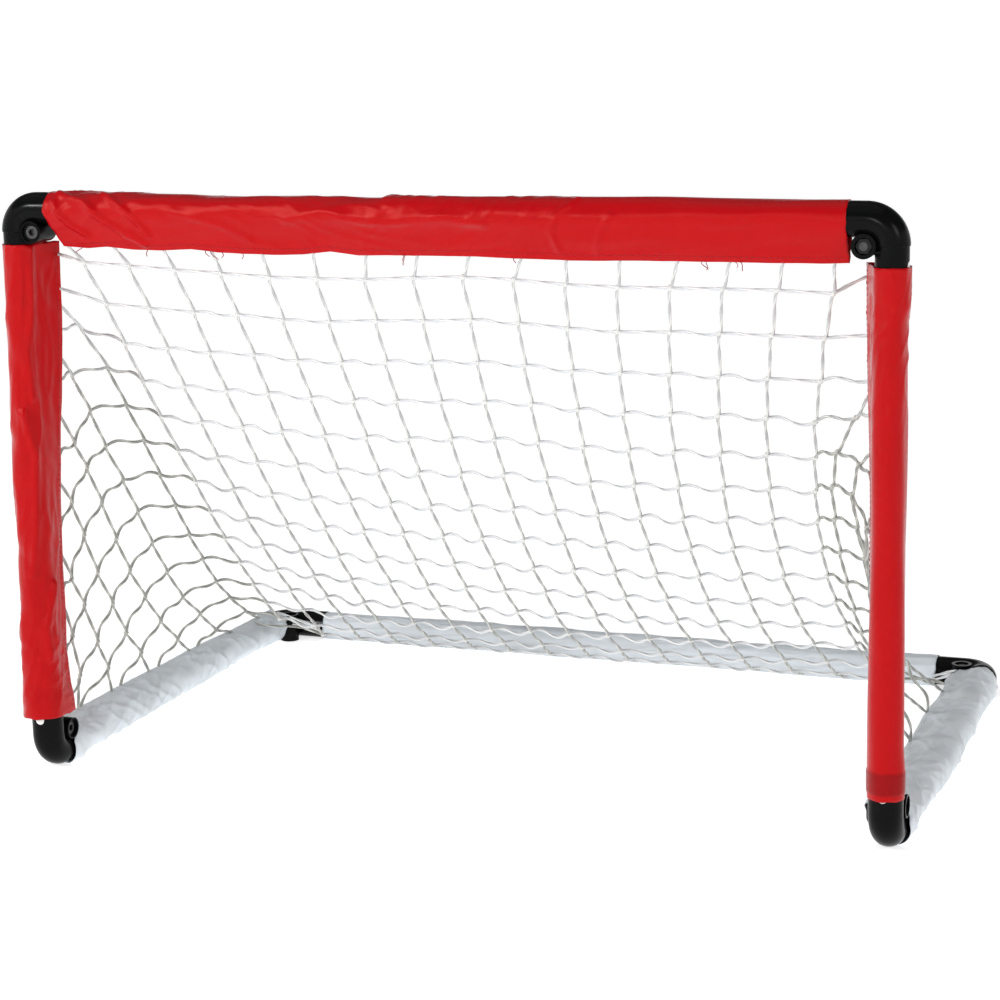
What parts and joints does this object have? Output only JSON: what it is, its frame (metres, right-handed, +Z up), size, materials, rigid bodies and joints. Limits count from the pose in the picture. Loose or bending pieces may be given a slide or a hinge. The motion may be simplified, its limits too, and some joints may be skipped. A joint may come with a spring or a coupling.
{
  "type": "hockey goal net",
  "caption": "Small folding hockey goal: plastic tube frame with hinged corner mouldings, cloth sleeves and a knotted cord net; its base folds up under the crossbar.",
  "frame": {"origin": "on the floor, middle of the overall width and depth", "axes": "+X to the right seen from in front of the mouth, +Y from the mouth to the back, +Z up"},
  "size_m": [0.7128, 0.4694, 0.4694],
  "materials": {
    "black_plastic": "satin moulded",
    "white_pvc": "smooth",
    "steel": "zinc plated",
    "white_plug": "smooth",
    "red_cloth": "shiny woven nylon",
    "white_cloth": "shiny woven nylon",
    "net_cord": "braided cord"
  },
  "bodies": {
    "front_frame": {"crossbar_tube": "white_pvc", "left_post_tube": "white_pvc", "right_post_tube": "white_pvc", "top_left_elbow": "black_plastic", "top_right_elbow": "black_plastic", "front_left_elbow": "black_plastic", "front_right_elbow": "black_plastic", "top_left_collar": "black_plastic", "top_right_collar": "black_plastic", "front_frame_bolts": "steel", "front_frame_nuts": "steel", "front_frame_plugs": "white_plug", "crossbar_sleeve": "red_cloth", "left_post_sleeve": "red_cloth", "right_post_sleeve": "red_cloth"},
    "base": {"left_side_tube": "white_pvc", "right_side_tube": "white_pvc", "rear_bar_tube": "white_pvc", "rear_left_elbow": "black_plastic", "rear_right_elbow": "black_plastic", "front_left_collar": "black_plastic", "front_right_collar": "black_plastic", "rear_left_collar": "black_plastic", "rear_right_collar": "black_plastic", "base_frame_bolts": "steel", "base_frame_nuts": "steel", "base_frame_plugs": "white_plug", "left_side_sleeve": "white_cloth", "right_side_sleeve": "white_cloth", "rear_sleeve": "white_cloth", "back_net": "net_cord", "left_net": "net_cord", "right_net": "net_cord"}
  },
  "joints": [
    {"name": "base_fold", "type": "hinge", "parent": "front_frame", "child": "base", "pos_m": [0, -0.2034, 0.0304], "axis": [1, 0, 0], "range_deg": [0, 90], "deforming": ["back_net", "left_net", "right_net"]}
  ]
}
